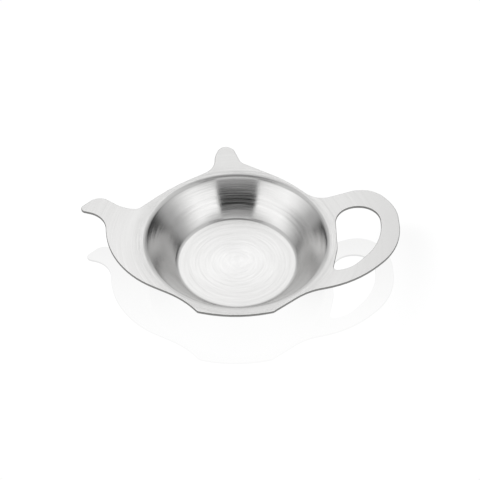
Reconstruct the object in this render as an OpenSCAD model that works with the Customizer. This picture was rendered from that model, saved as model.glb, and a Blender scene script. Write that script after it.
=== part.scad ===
// Tea bag rest: one stainless-steel sheet, blanked to the outline of a teapot and drawn into a round bowl.
// The origin is on the bowl's axis, on the underside of its floor. +Z is up, +X points to the handle and
// +Y to the lid knob. All sizes are in millimetres.

/* [Sheet] */
// thickness of the steel
sheet_t = 1; // [0.5:0.1:1.5]
// height from the underside of the bowl floor to the top of the plate
overall_h = 15; // [10:0.5:20]

/* [Bowl] */
// radius of the flat floor, on the inside
floor_r = 23.6; // [15:0.1:28]
// radius at which the plate's top starts to bend down
rim_r = 37.7; // [34:0.1:38.3]
// bend radius at the rim, on the top face
rim_bend_r = 3; // [2:0.1:8]
// bend radius between floor and wall, on the inside
floor_bend_r = 2.4; // [1:0.1:5]

/* [Hidden] */
// Corners of the plate: the place where two straight edges would meet, and the radius that rounds them.
// They run counter-clockwise from the middle of the foot.
plate_corners = [
    // foot
    [-0.5, -42, 54],
    [14, -38.5, 1.5],
    // underside and outside of the handle
    [27.5, -28, 25],
    [46.5, -23.5, 46],
    [66, -4.5, 28],
    [65.5, 17.5, 18],
    [57, 28, 11],
    [48.5, 27.5, 10],
    [32.5, 21.5, 9.5],
    // right side of the lid
    [21.5, 33, 56],
    // knob
    [1.5, 44.5, 4],
    [-1.5, 52.5, 3],
    [-6.5, 56.5, 3.5],
    [-9.5, 48, 12],
    [-9.5, 40.5, 8.5],
    // left side of the lid
    [-27, 29.5, 75],
    [-40.5, 16.5, 2.5],
    // spout
    [-46.5, 17, 15],
    [-57, 24.5, 5.5],
    [-65.5, 16, 2],
    [-53.5, 12.5, 10],
    // belly
    [-51, -16, 38],
    [-20.5, -32, 36],
    [-15, -38.5, 2],
];

// Corners of the hand hole, in the same form and direction.
hole_corners = [
    [40, 18, 9.5],
    [40, -5.5, 9],
    [37.5, -17.5, 1.5],
    [45, -16, 14],
    [58.5, -1.5, 26],
    [58, 18, 8],
];

// An arc and the straight edges beside it overlap by this much, so that they cross and don't only touch.
crossing = 0.0005;
// how deep an arc's piece overlaps the straight-sided shape
overlap = 0.5;
// how far a cutting shape reaches past what it cuts
past = 2;
// sides of a circle where it is drawn as a polygon, and of a round body
circle_sides = 96;
body_sides = 180;
// radius of the round disc before the outline is cut from it
disc_r = 80;
steel_color = [0.78, 0.78, 0.77];

function unit(v) = v / norm(v);
function point_of(corner) = [corner.x, corner.y];
function turn(a, b) = a.x * b.y - a.y * b.x;

// Everything about corner i of a list: where its arc starts and ends, the arc's centre and radius, and
// whether it turns left, as the convex corners of a counter-clockwise list do.
function corner_facts(corners, i) =
    let (
        count = len(corners),
        here = point_of(corners[i]),
        back = unit(point_of(corners[(i + count - 1) % count]) - here),
        ahead = unit(point_of(corners[(i + 1) % count]) - here),
        half = acos(back * ahead) / 2,
        radius = corners[i][2]
    )
    [
        here + back * radius / tan(half),
        here + ahead * radius / tan(half),
        here + unit(back + ahead) * radius / sin(half),
        radius,
        turn(ahead, back) > 0,
    ];

// The piece of a corner's circle between its arc and its chord. It reaches a little past both, so that
// it overlaps the straight-sided shape that it rounds.
module arc_piece(facts) {
    start = facts[0];
    end = facts[1];
    centre = facts[2];
    radius = facts[3] + crossing;
    along = unit(end - start);
    outward = unit((start + end) / 2 - centre);
    spare = 2 * sqrt(2 * crossing * radius);
    intersection() {
        translate(centre) circle(radius, $fn = circle_sides);
        polygon([
            start - along * spare - outward * overlap,
            end + along * spare - outward * overlap,
            end + along * spare + outward * radius,
            start - along * spare + outward * radius,
        ]);
    }
}

// A closed outline through a list of corners, each rounded by a true arc.
module rounded_outline(corners) {
    facts = [for (i = [0 : len(corners) - 1]) corner_facts(corners, i)];
    difference() {
        union() {
            polygon([for (corner = facts) each [corner[0], corner[1]]]);
            for (corner = facts)
                if (corner[4])
                    arc_piece(corner);
        }
        for (corner = facts)
            if (!corner[4])
                arc_piece(corner);
    }
}

// The half section of everything below a surface that lies a given depth inside the top face of the sheet.
module below_surface(depth, reach, bottom) {
    run = rim_r - floor_r;
    drop = overall_h - rim_bend_r - sheet_t - floor_bend_r;
    slope = atan2(drop, run) + asin((rim_bend_r + floor_bend_r) / norm([run, drop]));
    rim_centre = [rim_r, overall_h - rim_bend_r];
    floor_centre = [floor_r, sheet_t + floor_bend_r];
    rim_radius = rim_bend_r - depth;
    floor_radius = floor_bend_r + depth;
    across_wall = [-sin(slope), cos(slope)];
    difference() {
        union() {
            polygon([
                [-reach, bottom],
                [-reach, sheet_t - depth],
                [floor_r, sheet_t - depth],
                floor_centre - across_wall * (floor_radius - crossing),
                rim_centre + across_wall * (rim_radius - crossing),
                rim_centre,
                [rim_r, overall_h - depth],
                [reach, overall_h - depth],
                [reach, bottom],
            ]);
            translate(rim_centre) circle(rim_radius, $fn = circle_sides);
        }
        translate(floor_centre) circle(floor_radius, $fn = circle_sides);
    }
}

// The drawn sheet before its edge is cut: a round disc with the bowl in its middle.
module drawn_disc() {
    rotate_extrude($fn = body_sides)
        intersection() {
            translate([0, -past]) square([disc_r, overall_h + 2 * past]);
            difference() {
                below_surface(0, disc_r + past, -past);
                below_surface(sheet_t, disc_r + 2 * past, -2 * past);
            }
        }
}

// The dish is what the blanking tool leaves of the drawn disc.
module dish() {
    color(steel_color)
        intersection() {
            drawn_disc();
            translate([0, 0, -past])
                linear_extrude(overall_h + 2 * past)
                    difference() {
                        rounded_outline(plate_corners);
                        rounded_outline(hole_corners);
                    }
        }
}

dish();
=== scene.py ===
"""Tea bag rest: one stainless-steel sheet with a teapot outline and a round drawn bowl.

The visual dish is built at the CAD model's size: true arcs along the outline, a smooth bend and fillet in
the bowl, and a deburred edge. Lengths in the shape section are millimetres, and the mesh is in metres.
"""
import math

import bpy
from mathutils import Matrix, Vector
from mathutils.geometry import delaunay_2d_cdt


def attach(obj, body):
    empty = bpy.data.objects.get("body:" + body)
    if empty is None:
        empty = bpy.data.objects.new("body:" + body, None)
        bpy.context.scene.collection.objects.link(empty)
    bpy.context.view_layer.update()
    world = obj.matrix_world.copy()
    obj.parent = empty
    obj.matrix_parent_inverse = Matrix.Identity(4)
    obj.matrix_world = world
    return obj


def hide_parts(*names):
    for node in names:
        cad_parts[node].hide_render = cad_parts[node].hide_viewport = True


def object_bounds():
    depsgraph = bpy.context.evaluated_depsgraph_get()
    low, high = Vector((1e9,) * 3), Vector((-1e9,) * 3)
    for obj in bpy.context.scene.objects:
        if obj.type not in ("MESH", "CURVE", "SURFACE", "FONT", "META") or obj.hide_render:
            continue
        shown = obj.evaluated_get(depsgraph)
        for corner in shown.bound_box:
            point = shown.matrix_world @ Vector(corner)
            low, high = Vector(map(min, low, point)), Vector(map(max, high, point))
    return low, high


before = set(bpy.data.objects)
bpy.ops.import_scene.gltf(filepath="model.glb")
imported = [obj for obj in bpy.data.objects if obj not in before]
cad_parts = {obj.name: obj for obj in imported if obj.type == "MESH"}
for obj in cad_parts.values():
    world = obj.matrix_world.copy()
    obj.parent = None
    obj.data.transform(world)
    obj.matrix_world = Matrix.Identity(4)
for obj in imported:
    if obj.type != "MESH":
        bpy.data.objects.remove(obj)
cad_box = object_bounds()

MM = 0.001

# ---------------------------------------------------------------- shape, in millimetres
TOP_Z = cad_box[1].z / MM
SHEET_T = 1.0
FLOOR_R = 23.6
RIM_R = 37.7
RIM_BEND_R = 3.0
FLOOR_BEND_R = 2.4
# slope of the bowl's wall at its top and bottom ends, and how far up it is steepest
WALL_TOP_SLOPE = math.radians(48)
WALL_LOW_SLOPE = math.radians(45)
STEEPEST_AT = 0.42
# how much the cut edge is rounded where it meets the top face and the underside
TOP_EDGE_R = 0.22
LOWER_EDGE_R = 0.15
# in the shading only, the plate sinks softly towards the bend between these two radii, by this much
SHOULDER_IN = 36.4
SHOULDER_OUT = 40.8
SHOULDER_H = 0.22
# width of the flat ring that keeps the plate's shading level beside a bend
HOLD = 0.08
# Points inside the flat plate: their spacing along a row and between rows, how far they stay from the
# plate's edges and from the bowl's rim, and the box they are sought in.
FILL_STEP = 3.0
FILL_ROW_STEP = FILL_STEP * 0.866
FILL_EDGE_GAP = 1.3
FILL_RIM_GAP = 1.6
FILL_X = (-70.0, 70.0)
FILL_Y = (-45.0, 60.0)

# Corners of the plate and of the hand hole: x, y and rounding radius, counter-clockwise, as in part.scad.
PLATE_CORNERS = [
    # foot
    (-0.5, -42, 54),
    (14, -38.5, 1.5),
    # underside and outside of the handle
    (27.5, -28, 25),
    (46.5, -23.5, 46),
    (66, -4.5, 28),
    (65.5, 17.5, 18),
    (57, 28, 11),
    (48.5, 27.5, 10),
    (32.5, 21.5, 9.5),
    # right side of the lid
    (21.5, 33, 56),
    # knob
    (1.5, 44.5, 4),
    (-1.5, 52.5, 3),
    (-6.5, 56.5, 3.5),
    (-9.5, 48, 12),
    (-9.5, 40.5, 8.5),
    # left side of the lid
    (-27, 29.5, 75),
    (-40.5, 16.5, 2.5),
    # spout
    (-46.5, 17, 15),
    (-57, 24.5, 5.5),
    (-65.5, 16, 2),
    (-53.5, 12.5, 10),
    # belly
    (-51, -16, 38),
    (-20.5, -32, 36),
    (-15, -38.5, 2),
]
HOLE_CORNERS = [
    (40, 18, 9.5),
    (40, -5.5, 9),
    (37.5, -17.5, 1.5),
    (45, -16, 14),
    (58.5, -1.5, 26),
    (58, 18, 8),
]

# how finely the bowl is divided around and its floor across, and the cut edge along each rounding
BOWL_SEGMENTS = 288
FLOOR_STEPS = 18
EDGE_STEPS = 5


def rounded_loop(corners, arc_step=math.radians(4), line_step=1.6):
    """Points along a closed outline whose corners are true arcs, each with its outward unit normal."""
    points = []
    count = len(corners)
    arcs = []
    for i, (x, y, radius) in enumerate(corners):
        here = Vector((x, y))
        back = (Vector(corners[i - 1][:2]) - here).normalized()
        ahead = (Vector(corners[(i + 1) % count][:2]) - here).normalized()
        half = back.angle(ahead) / 2
        centre = here + (back + ahead).normalized() * radius / math.sin(half)
        start = here + back * radius / math.tan(half)
        end = here + ahead * radius / math.tan(half)
        convex = ahead.x * back.y - ahead.y * back.x > 0
        arcs.append((start, end, centre, radius, convex, math.pi - 2 * half))
    for i, (start, end, centre, radius, convex, turn) in enumerate(arcs):
        steps = max(3, math.ceil(turn / arc_step))
        first = math.atan2(start.y - centre.y, start.x - centre.x)
        sign = 1 if convex else -1
        for k in range(steps + 1):
            angle = first + sign * turn * k / steps
            direction = Vector((math.cos(angle), math.sin(angle)))
            points.append((centre + direction * radius, direction * sign))
        following = arcs[(i + 1) % count][0]
        line = following - end
        normal = Vector((line.y, -line.x)).normalized()
        pieces = max(1, round(line.length / line_step))
        for k in range(1, pieces):
            points.append((end + line * k / pieces, normal))
    return points


def bowl_curve():
    """The top face's half section from the rim inwards, with a slightly curved wall.

    Returns pairs of a place and its unit normal.
    """
    top, low = WALL_TOP_SLOPE, WALL_LOW_SLOPE
    wall_run = RIM_R - FLOOR_R - RIM_BEND_R * math.sin(top) - FLOOR_BEND_R * math.sin(low)
    wall_drop = TOP_Z - SHEET_T - RIM_BEND_R * (1 - math.cos(top)) - FLOOR_BEND_R * (1 - math.cos(low))
    wall = math.hypot(wall_run, wall_drop)
    mean = math.atan2(wall_drop, wall_run)
    steepest = 2 * mean - top * (1 - STEEPEST_AT) - low * STEEPEST_AT
    # first slope, last slope, length and number of steps
    stretches = [
        (0, top, RIM_BEND_R * top, 16),
        (top, steepest, wall * (1 - STEEPEST_AT), 10),
        (steepest, low, wall * STEEPEST_AT, 8),
        (low, 0, FLOOR_BEND_R * low, 14),
    ]
    place = Vector((RIM_R, TOP_Z))
    places, normals = [place], [Vector((0, 1))]
    for first, last, length, count in stretches:
        for k in range(count):
            slope = first + (last - first) * (k + 0.5) / count
            place = place - Vector((math.cos(slope), math.sin(slope))) * length / count
            end_slope = first + (last - first) * (k + 1) / count
            places.append(place)
            normals.append(Vector((-math.sin(end_slope), math.cos(end_slope))))
    miss = Vector((FLOOR_R, SHEET_T)) - places[-1]
    last = len(places) - 1
    return [(p + miss * i / last, n) for i, (p, n) in enumerate(zip(places, normals))]


def section(depth):
    """The bowl's half section from the rim to beside the centre, `depth` inside the top face."""
    rows = [place - normal * depth for place, normal in bowl_curve()]
    for k in range(1, FLOOR_STEPS):
        rows.append(Vector((FLOOR_R * (1 - k / FLOOR_STEPS), SHEET_T - depth)))
    return rows


def inside(point, loop):
    """Whether a point lies inside a closed loop of points."""
    crossed = False
    for a, b in zip(loop, loop[1:] + loop[:1]):
        if (a.y > point.y) != (b.y > point.y):
            if point.x < a.x + (b.x - a.x) * (point.y - a.y) / (b.y - a.y):
                crossed = not crossed
    return crossed


class Shell:
    """Collects the vertices and faces of the dish."""

    def __init__(self):
        self.vertices = []
        self.faces = []
        self.slots = []

    def ring(self, points, z):
        start = len(self.vertices)
        self.vertices += [(p.x, p.y, z) for p in points]
        return list(range(start, len(self.vertices)))

    def face(self, corners, slot):
        self.faces.append(corners)
        self.slots.append(slot)

    def bridge(self, upper, lower, slot, flip=False):
        count = len(upper)
        for i in range(count):
            j = (i + 1) % count
            quad = (upper[i], upper[j], lower[j], lower[i])
            self.face(quad[::-1] if flip else quad, slot)


# the dish's material slots, in the order in which the materials are added
TOP, EDGE, UNDER = range(3)


def edge_profile():
    """Offsets and heights of the cut edge from the top face down to the underside."""
    profile = [(TOP_EDGE_R + HOLD, TOP_Z)]
    angles = [math.pi / 2 * k / EDGE_STEPS for k in range(EDGE_STEPS + 1)]
    for angle in angles:
        profile.append((TOP_EDGE_R * (1 - math.sin(angle)), TOP_Z - TOP_EDGE_R * (1 - math.cos(angle))))
    low = TOP_Z - SHEET_T
    for angle in angles:
        profile.append((LOWER_EDGE_R * (1 - math.cos(angle)), low + LOWER_EDGE_R * (1 - math.sin(angle))))
    profile.append((LOWER_EDGE_R + HOLD, low))
    return profile


def cut_edge(shell, loop, inward):
    """The rounded cut edge along a loop. Returns its first and last ring of vertices."""
    rings = []
    profile = edge_profile()
    for offset, z in profile:
        rings.append(shell.ring([p - n * offset * inward for p, n in loop], z))
    last = len(rings) - 1
    for k in range(last):
        slot = TOP if k <= 1 else UNDER if k == last - 1 else EDGE
        shell.bridge(rings[k], rings[k + 1], slot, flip=inward > 0)
    return rings[0], rings[-1]


def bowl(shell, depth, slot, flip):
    """One skin of the bowl. Returns its outer ring of vertices."""
    angles = [2 * math.pi * i / BOWL_SEGMENTS for i in range(BOWL_SEGMENTS)]
    rows = [Vector((RIM_R + HOLD, TOP_Z - depth))] + section(depth)
    rings = []
    for row in rows:
        rings.append(shell.ring([Vector((math.cos(a), math.sin(a))) * row.x for a in angles], row.y))
    for upper, lower in zip(rings, rings[1:]):
        shell.bridge(upper, lower, slot, flip)
    shell.vertices.append((0, 0, SHEET_T - depth))
    centre = len(shell.vertices) - 1
    last = rings[-1]
    for i in range(BOWL_SEGMENTS):
        triangle = (last[i], last[(i + 1) % BOWL_SEGMENTS], centre)
        shell.face(triangle[::-1] if flip else triangle, slot)
    return rings[0]


def fill_points(outline, hole):
    """Staggered points spread over the flat plate, clear of its edges and of the bowl's rim."""
    points = []
    row = 0
    y = FILL_Y[0]
    while y < FILL_Y[1]:
        x = FILL_X[0] + (row % 2) * FILL_STEP / 2
        while x < FILL_X[1]:
            p = Vector((x, y))
            x += FILL_STEP
            if p.length < RIM_R + FILL_RIM_GAP or not inside(p, outline) or inside(p, hole):
                continue
            if min((p - q).length_squared for q in outline + hole) >= FILL_EDGE_GAP ** 2:
                points.append(p)
        y += FILL_ROW_STEP
        row += 1
    return points


def flange(shell, loops, slot, flip, z):
    """Fills the flat plate between the outline, the hand hole and the bowl's rim."""
    flat = [[Vector(shell.vertices[i][:2]) for i in loop] for loop in loops]
    outline, hole = flat[:2]
    points = [p for loop in flat for p in loop]
    owners = [i for loop in loops for i in loop]
    edges = []
    start = 0
    for loop in flat:
        edges += [(start + i, start + (i + 1) % len(loop)) for i in range(len(loop))]
        start += len(loop)
    for p in fill_points(outline, hole):
        points.append(p)
        shell.vertices.append((p.x, p.y, z))
        owners.append(len(shell.vertices) - 1)
    # triangles over the whole hull, of which only those on the plate are kept
    made = delaunay_2d_cdt(points, edges, [], 0, 1e-6)
    places, faces, sources = made[0], made[2], made[3]
    for face in faces:
        middle = sum((places[i] for i in face), Vector((0, 0))) / len(face)
        if middle.length < RIM_R + HOLD or not inside(middle, outline) or inside(middle, hole):
            continue
        corners = [owners[sources[i][0]] for i in face]
        a, b, c = (Vector(shell.vertices[i][:2]) for i in corners)
        left_turn = (b - a).x * (c - a).y - (b - a).y * (c - a).x > 0
        shell.face(corners if left_turn != flip else corners[::-1], slot)


def build_dish():
    """The whole sheet as one closed mesh: both faces of the plate and the bowl, and the cut edges."""
    shell = Shell()
    outline = rounded_loop(PLATE_CORNERS)
    hole = rounded_loop(HOLE_CORNERS)
    plate_top, plate_low = cut_edge(shell, outline, 1)
    hole_top, hole_low = cut_edge(shell, hole, -1)
    rim_top = bowl(shell, 0, TOP, False)
    rim_low = bowl(shell, SHEET_T, UNDER, True)
    flange(shell, (plate_top, hole_top, rim_top), TOP, False, TOP_Z)
    flange(shell, (plate_low, hole_low, rim_low), UNDER, True, TOP_Z - SHEET_T)
    mesh = bpy.data.meshes.new("dish_sheet")
    mesh.from_pydata([[c * MM for c in v] for v in shell.vertices], [], shell.faces)
    mesh.polygons.foreach_set("material_index", shell.slots)
    mesh.polygons.foreach_set("use_smooth", [True] * len(shell.faces))
    mesh.validate()
    mesh.update()
    dish = bpy.data.objects.new("dish_sheet", mesh)
    bpy.context.collection.objects.link(dish)
    return dish


# ---------------------------------------------------------------- materials
class Nodes:
    """Short calls for building the node tree of a material or of the world."""

    def __init__(self, owner):
        owner.use_nodes = True
        self.tree = owner.node_tree
        self.tree.nodes.clear()

    def add(self, kind, inputs=(), **settings):
        node = self.tree.nodes.new(kind)
        for key, value in settings.items():
            setattr(node, key, value)
        for key, value in dict(inputs).items():
            socket = node.inputs[key]
            if isinstance(value, bpy.types.NodeSocket):
                self.tree.links.new(value, socket)
            else:
                socket.default_value = value
        return node

    def math(self, operation, a, b=0.0, c=0.0):
        return self.add("ShaderNodeMath", {0: a, 1: b, 2: c}, operation=operation).outputs[0]

    def spread(self, value, low, high, to_low, to_high, smooth=False):
        kind = "SMOOTHSTEP" if smooth else "LINEAR"
        inputs = {"Value": value, "From Min": low, "From Max": high, "To Min": to_low, "To Max": to_high}
        return self.add("ShaderNodeMapRange", inputs, interpolation_type=kind).outputs["Result"]

    def mix(self, factor, a, b):
        node = self.add("ShaderNodeMix", {0: factor, 6: a, 7: b}, data_type="RGBA")
        return node.outputs[2]


def grey(value, warmth=0.0):
    return (value, value * (1 - warmth * 0.4), value * (1 - warmth), 1)


class TurnedField:
    """Node outputs that describe a place on the dish: its radius, its direction and its height."""

    def __init__(self, nodes):
        self.nodes = nodes
        place = nodes.add("ShaderNodeTexCoord").outputs["Object"]
        parts = nodes.add("ShaderNodeSeparateXYZ", {0: place}).outputs
        flat = nodes.add("ShaderNodeCombineXYZ", {"X": parts["X"], "Y": parts["Y"]}).outputs[0]
        self.radius = nodes.add("ShaderNodeVectorMath", {0: flat}, operation="LENGTH").outputs["Value"]
        self.radial = nodes.add("ShaderNodeVectorMath", {0: flat}, operation="NORMALIZE").outputs["Vector"]
        self.height = parts["Z"]

    def streaks(self, per_mm, around, detail=3.0, offset=0.0):
        """Noise drawn out along circles.

        `per_mm` sets how close the rings are, and `around` how soon a ring changes on its way round.
        """
        nodes = self.nodes
        path = nodes.math("SUBTRACT", self.radius, self.height)
        along = nodes.add("ShaderNodeVectorMath", {0: self.radial, "Scale": around}, operation="SCALE")
        split = nodes.add("ShaderNodeSeparateXYZ", {0: along.outputs["Vector"]}).outputs
        ring = nodes.math("MULTIPLY_ADD", path, per_mm / MM, offset)
        where = nodes.add("ShaderNodeCombineXYZ", {"X": split["X"], "Y": split["Y"], "Z": ring}).outputs[0]
        inputs = {"Vector": where, "Scale": 1.0, "Detail": detail, "Roughness": 0.6}
        return nodes.add("ShaderNodeTexNoise", inputs, noise_dimensions="3D").outputs["Fac"]


# Rings of the turned polish: how close they are, in noise cells per millimetre, and how soon a ring
# changes on its way round.
FINE_RINGS = (5.0, 0.9)
BROAD_RINGS = (0.8, 1.2)
SATIN_RINGS = (2.5, 6.0)
# how deep the rings are on the floor and on the wall, and the radii between which that changes
RINGS_ON_FLOOR, RINGS_ON_WALL = 0.2, 3.0
WALL_FROM, WALL_TO = 23.5 * MM, 25 * MM
# what is left on the flat plate of the rings' depth and of their contrast, and where they fade
PLATE_FROM, PLATE_TO = 38 * MM, 44 * MM
PLATE_DEPTH, PLATE_CONTRAST = 0.1, 0.35
# the floor's colour is brighter towards its centre
FLOOR_BRIGHTER_FROM, FLOOR_BRIGHTER_TO = 2 * MM, 20 * MM
FLOOR_BRIGHTER = 0.4
RING_HEIGHT = 0.05 * MM
SHEAR_LINES_PER_METRE = 3000.0
SHEAR_DEPTH = 0.1 * MM


def turned_steel():
    """The top face: bright steel with circular polishing rings that fade out over the flat plate."""
    material = bpy.data.materials.new("turned_steel")
    nodes = Nodes(material)
    field = TurnedField(nodes)
    fine = field.streaks(*FINE_RINGS)
    broad = field.streaks(*BROAD_RINGS, offset=7.0)

    contrast = nodes.spread(field.radius, PLATE_FROM, PLATE_TO, 1.0, PLATE_CONTRAST, smooth=True)
    tone = nodes.spread(broad, 0.3, 0.7, -0.5, 0.5)
    tone = nodes.math("MULTIPLY_ADD", tone, contrast, 0.5)
    colour = nodes.mix(tone, grey(0.77, 0.012), grey(0.84, 0.01))
    # the floor's colour brightens towards its centre, fading out between these radii
    floor_brighter = nodes.spread(field.radius, FLOOR_BRIGHTER_FROM, FLOOR_BRIGHTER_TO, FLOOR_BRIGHTER, 0.0)
    colour = nodes.mix(floor_brighter, colour, grey(0.98))

    on_wall = nodes.spread(field.radius, WALL_FROM, WALL_TO, RINGS_ON_FLOOR, RINGS_ON_WALL, smooth=True)
    past_rim = nodes.spread(field.radius, PLATE_FROM, PLATE_TO, 1.0, PLATE_DEPTH, smooth=True)
    turned = nodes.math("MULTIPLY", on_wall, past_rim)
    height = nodes.math("MULTIPLY", nodes.math("ADD", fine, nodes.math("MULTIPLY", broad, 0.5)), turned)
    start, end = SHOULDER_IN * MM, SHOULDER_OUT * MM
    shoulder = nodes.spread(field.radius, start, end, 0.0, SHOULDER_H * MM, smooth=True)
    rolled = nodes.add("ShaderNodeBump", {"Height": shoulder, "Strength": 1.0, "Distance": 1.0})
    bump = nodes.add("ShaderNodeBump", {
        "Height": height,
        "Strength": 0.4,
        "Distance": RING_HEIGHT,
        "Normal": rolled.outputs["Normal"],
    })
    shader = nodes.add("ShaderNodeBsdfPrincipled", {
        "Base Color": colour,
        "Metallic": 1.0,
        "Roughness": nodes.spread(fine, 0.25, 0.75, 0.14, 0.25),
        "Anisotropic": 0.65,
        "Tangent": field.radial,
        "Normal": bump.outputs["Normal"],
    })
    nodes.add("ShaderNodeOutputMaterial", {"Surface": shader.outputs["BSDF"]})
    return material


def sheared_edge():
    """The cut edge: duller and darker, with short shear lines that run down it."""
    material = bpy.data.materials.new("sheared_edge")
    nodes = Nodes(material)
    place = nodes.add("ShaderNodeTexCoord").outputs["Object"]
    stretched = nodes.add("ShaderNodeMapping", {"Vector": place, "Scale": (1, 1, 0.15)}).outputs["Vector"]
    inputs = {"Vector": stretched, "Scale": SHEAR_LINES_PER_METRE, "Detail": 2.0}
    lines = nodes.add("ShaderNodeTexNoise", inputs).outputs["Fac"]
    colour = nodes.mix(lines, grey(0.2, 0.02), grey(0.34, 0.02))
    bump = nodes.add("ShaderNodeBump", {"Height": lines, "Strength": 0.3, "Distance": SHEAR_DEPTH})
    shader = nodes.add("ShaderNodeBsdfPrincipled", {
        "Base Color": colour,
        "Metallic": 1.0,
        "Roughness": nodes.spread(lines, 0.3, 0.7, 0.35, 0.55),
        "Normal": bump.outputs["Normal"],
    })
    nodes.add("ShaderNodeOutputMaterial", {"Surface": shader.outputs["BSDF"]})
    return material


def satin_underside():
    """The underside: a duller satin finish, turned as well."""
    material = bpy.data.materials.new("satin_underside")
    nodes = Nodes(material)
    field = TurnedField(nodes)
    fine = field.streaks(*SATIN_RINGS)
    colour = nodes.mix(fine, grey(0.6, 0.015), grey(0.74, 0.012))
    bump = nodes.add("ShaderNodeBump", {"Height": fine, "Strength": 0.1, "Distance": RING_HEIGHT})
    shader = nodes.add("ShaderNodeBsdfPrincipled", {
        "Base Color": colour,
        "Metallic": 1.0,
        "Roughness": nodes.spread(fine, 0.25, 0.75, 0.34, 0.46),
        "Anisotropic": 0.5,
        "Tangent": field.radial,
        "Normal": bump.outputs["Normal"],
    })
    nodes.add("ShaderNodeOutputMaterial", {"Surface": shader.outputs["BSDF"]})
    return material


dish = build_dish()
for finish in (turned_steel(), sheared_edge(), satin_underside()):
    dish.data.materials.append(finish)
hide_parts("dish")
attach(dish, "root")

# ---------------------------------------------------------------- studio, in metres
# degrees above the base
CAMERA_ELEVATION = 46.4
CAMERA_DISTANCE = 0.5192
CAMERA_AIM = Vector((0.00123, -0.001, TOP_Z * MM))
# both in millimetres
CAMERA_LENS = 97.5
CAMERA_SENSOR = 36

FLOOR_HALF_SIDE = 3.0
# a little over white, so that the base looks as white as the background
FLOOR_GLOW = 1.02
# The base mirrors the dish weakly in front, most under its middle and not at all behind it or far away.
GLOSS_LEAST, GLOSS_RISE = 0.07, 0.28
RISE_FROM, RISE_TO = -0.05, 0.012
BEHIND_FROM, BEHIND_TO = 0.016, 0.03
AWAY_FROM, AWAY_TO = 0.07, 0.09


def direction(azimuth, elevation):
    """A unit vector to the studio's side: azimuth 0 is the camera's side, 90 the handle's."""
    a, e = math.radians(azimuth), math.radians(elevation)
    return Vector((math.sin(a) * math.cos(e), -math.cos(a) * math.cos(e), math.sin(e)))


def make_camera():
    """A long lens that looks down at the dish from the front."""
    data = bpy.data.cameras.new("camera")
    data.lens = CAMERA_LENS
    data.sensor_width = CAMERA_SENSOR
    data.clip_start = 0.01
    camera = bpy.data.objects.new("camera", data)
    bpy.context.collection.objects.link(camera)
    back = direction(0, CAMERA_ELEVATION)
    camera.location = CAMERA_AIM + back * CAMERA_DISTANCE
    camera.rotation_mode = "QUATERNION"
    camera.rotation_quaternion = (-back).to_track_quat("-Z", "Y")
    bpy.context.scene.camera = camera


def make_floor():
    """The glowing white base, with a weak mirror image of the dish in it."""
    half = FLOOR_HALF_SIDE
    corners = [(-half, -half, 0), (half, -half, 0), (half, half, 0), (-half, half, 0)]
    mesh = bpy.data.meshes.new("floor")
    mesh.from_pydata(corners, [], [(0, 1, 2, 3)])
    floor = bpy.data.objects.new("floor", mesh)
    bpy.context.collection.objects.link(floor)
    material = bpy.data.materials.new("white_acrylic")
    nodes = Nodes(material)
    glow = nodes.add("ShaderNodeEmission", {"Color": grey(1.0), "Strength": FLOOR_GLOW})
    gloss = nodes.add("ShaderNodeBsdfGlossy", {"Color": grey(1.0), "Roughness": 0.0})
    place = nodes.add("ShaderNodeTexCoord").outputs["Object"]
    depth = nodes.add("ShaderNodeSeparateXYZ", {0: place}).outputs["Y"]
    away = nodes.add("ShaderNodeVectorMath", {0: place}, operation="LENGTH").outputs["Value"]
    under = nodes.spread(depth, RISE_FROM, RISE_TO, 0.0, 1.0)
    shine = nodes.math("MULTIPLY_ADD", nodes.math("MULTIPLY", under, under), GLOSS_RISE, GLOSS_LEAST)
    near = nodes.spread(away, AWAY_FROM, AWAY_TO, 1.0, 0.0, smooth=True)
    before = nodes.spread(depth, BEHIND_FROM, BEHIND_TO, 1.0, 0.0, smooth=True)
    factor = nodes.math("MULTIPLY", shine, nodes.math("MULTIPLY", near, before))
    mixed = nodes.add("ShaderNodeMixShader", {0: factor, 1: glow.outputs[0], 2: gloss.outputs[0]})
    nodes.add("ShaderNodeOutputMaterial", {"Surface": mixed.outputs[0]})
    mesh.materials.append(material)


# What the steel mirrors. Each panel is a soft-edged window in the surroundings: its two azimuths with the
# softness of each, its two elevations with the softness of each, and its brightness, where 1 is white.
# The angles are in degrees. Later panels lie over earlier ones.
PANELS = {
    "zenith": ((-200, 1), (200, 1), (72, 14), (100, 5), 0.22),
    "right_beam": ((32, 10), (60, 12), (54, 5), (63, 6), 0.0),
    "left_beam": ((-60, 12), (-32, 10), (54, 5), (63, 6), 0.0),
    "left_softbox": ((-88, 50), (-27, 3), (14, 6), (38, 14), 1.2),
    "right_softbox": ((26, 3), (76, 50), (14, 6), (36, 14), 1.25),
    "back_wall": ((160, 30), (205, 60), (-10, 4), (56, 12), 0.8),
    "back_window": ((172, 9), (193, 14), (43, 5), (55, 8), 1.2),
    "camera_gap": ((-27, 3), (26, 3), (5, 4), (36, 10), 0.0),
    "right_doorway": ((105, 20), (138, 20), (-10, 4), (34, 10), 0.05),
    "left_doorway": ((-142, 14), (-114, 14), (-10, 4), (20, 10), 0.05),
}
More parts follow.
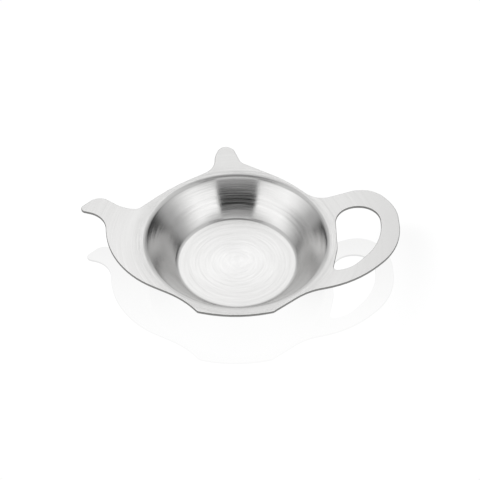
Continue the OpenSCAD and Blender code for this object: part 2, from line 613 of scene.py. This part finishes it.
# brightness of the room between the panels, low and high, and the elevations between which it changes
WALL_TONE = 0.42
CEILING_TONE = 0.65
CEILING_FROM, CEILING_TO = 37, 51


def make_world():
    """The studio that the steel mirrors. The camera itself sees plain white instead."""
    world = bpy.data.worlds.new("studio")
    bpy.context.scene.world = world
    nodes = Nodes(world)
    towards = nodes.add("ShaderNodeTexCoord").outputs["Generated"]
    parts = nodes.add("ShaderNodeSeparateXYZ", {0: towards}).outputs
    turned = nodes.math("ARCTAN2", parts["X"], nodes.math("MULTIPLY", parts["Y"], -1.0))
    azimuth = nodes.math("MULTIPLY", turned, math.degrees(1))
    elevation = nodes.math("MULTIPLY", nodes.math("ARCSINE", parts["Z"]), math.degrees(1))

    def rise(value, edge, softness):
        return nodes.spread(value, edge - softness / 2, edge + softness / 2, 0.0, 1.0, smooth=True)

    def window(value, first, last):
        closing = nodes.math("SUBTRACT", 1.0, rise(value, *last))
        return nodes.math("MULTIPLY", rise(value, *first), closing)

    studio = nodes.spread(elevation, CEILING_FROM, CEILING_TO, WALL_TONE, CEILING_TONE, smooth=True)
    for (start, start_soft), (end, end_soft), low, high, brightness in PANELS.values():
        middle, half = (start + end) / 2, (end - start) / 2
        offset = nodes.math("WRAP", nodes.math("SUBTRACT", azimuth, middle), 180.0, -180.0)
        across = window(offset, (-half, start_soft), (half, end_soft))
        cover = nodes.math("MULTIPLY", across, window(elevation, low, high))
        dimmed = nodes.math("MULTIPLY", studio, nodes.math("SUBTRACT", 1.0, cover))
        studio = nodes.math("MULTIPLY_ADD", cover, brightness, dimmed)
    seen = nodes.add("ShaderNodeLightPath").outputs["Is Camera Ray"]
    strength = nodes.math("ADD", seen, nodes.math("MULTIPLY", studio, nodes.math("SUBTRACT", 1.0, seen)))
    background = nodes.add("ShaderNodeBackground", {"Color": grey(1.0), "Strength": strength})
    nodes.add("ShaderNodeOutputWorld", {"Surface": background.outputs[0]})


make_camera()
make_floor()
make_world()
bpy.context.scene.view_settings.view_transform = "Standard"
